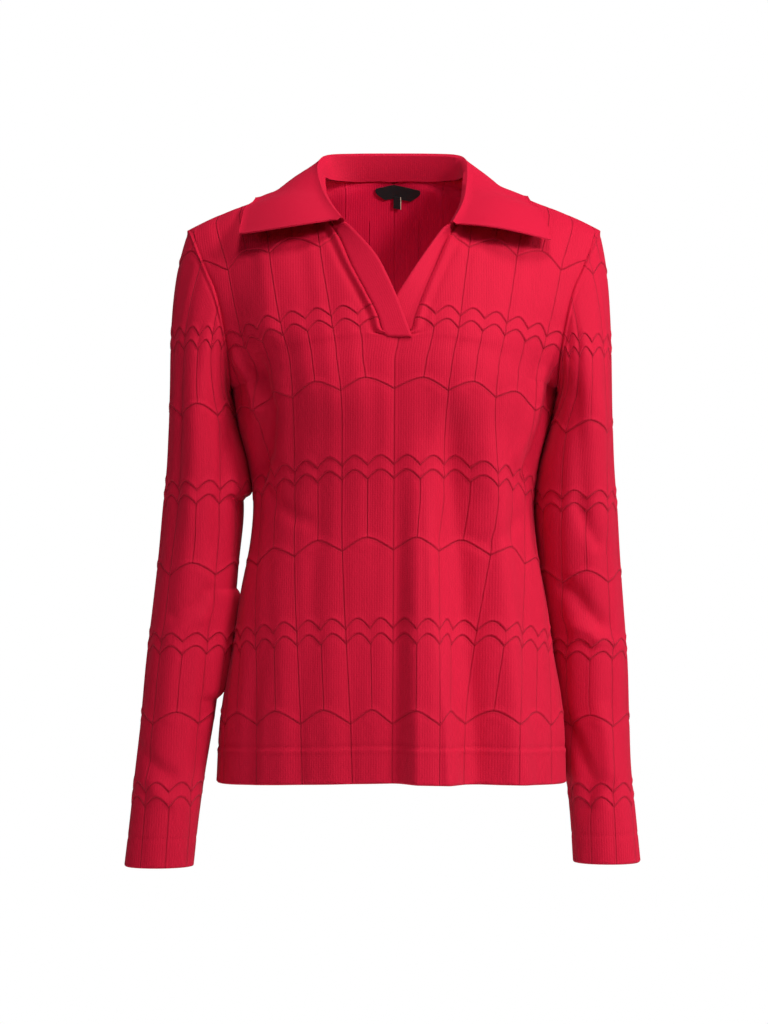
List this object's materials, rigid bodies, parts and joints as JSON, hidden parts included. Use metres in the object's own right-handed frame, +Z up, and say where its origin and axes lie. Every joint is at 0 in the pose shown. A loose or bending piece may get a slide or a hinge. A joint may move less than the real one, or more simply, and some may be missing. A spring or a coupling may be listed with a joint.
{
  "type": "knitted polo-collar tunic",
  "caption": "Hollow long-sleeved knit tunic with a turned-down polo collar and open V placket, held in its worn shape, with relief waves over fine ribs.",
  "frame": {"origin": "midway between the high shoulder points, where the wearer's shoulders carry the garment", "axes": "+Z up, the front faces -Y, +X towards the wearer's left"},
  "size_m": [0.5, 0.2336, 0.6941],
  "materials": {
    "relief_knit": "matte fine-gauge knit",
    "plain_knit": "matte close knit",
    "label_cloth": "woven satin"
  },
  "bodies": {
    "root": {"front": "relief_knit", "back": "relief_knit", "sleeve_left": "relief_knit", "sleeve_right": "relief_knit", "collar": "plain_knit", "placket_right": "plain_knit", "placket_left": "plain_knit", "neck_label": "label_cloth", "size_tab": "label_cloth"}
  },
  "joints": []
}
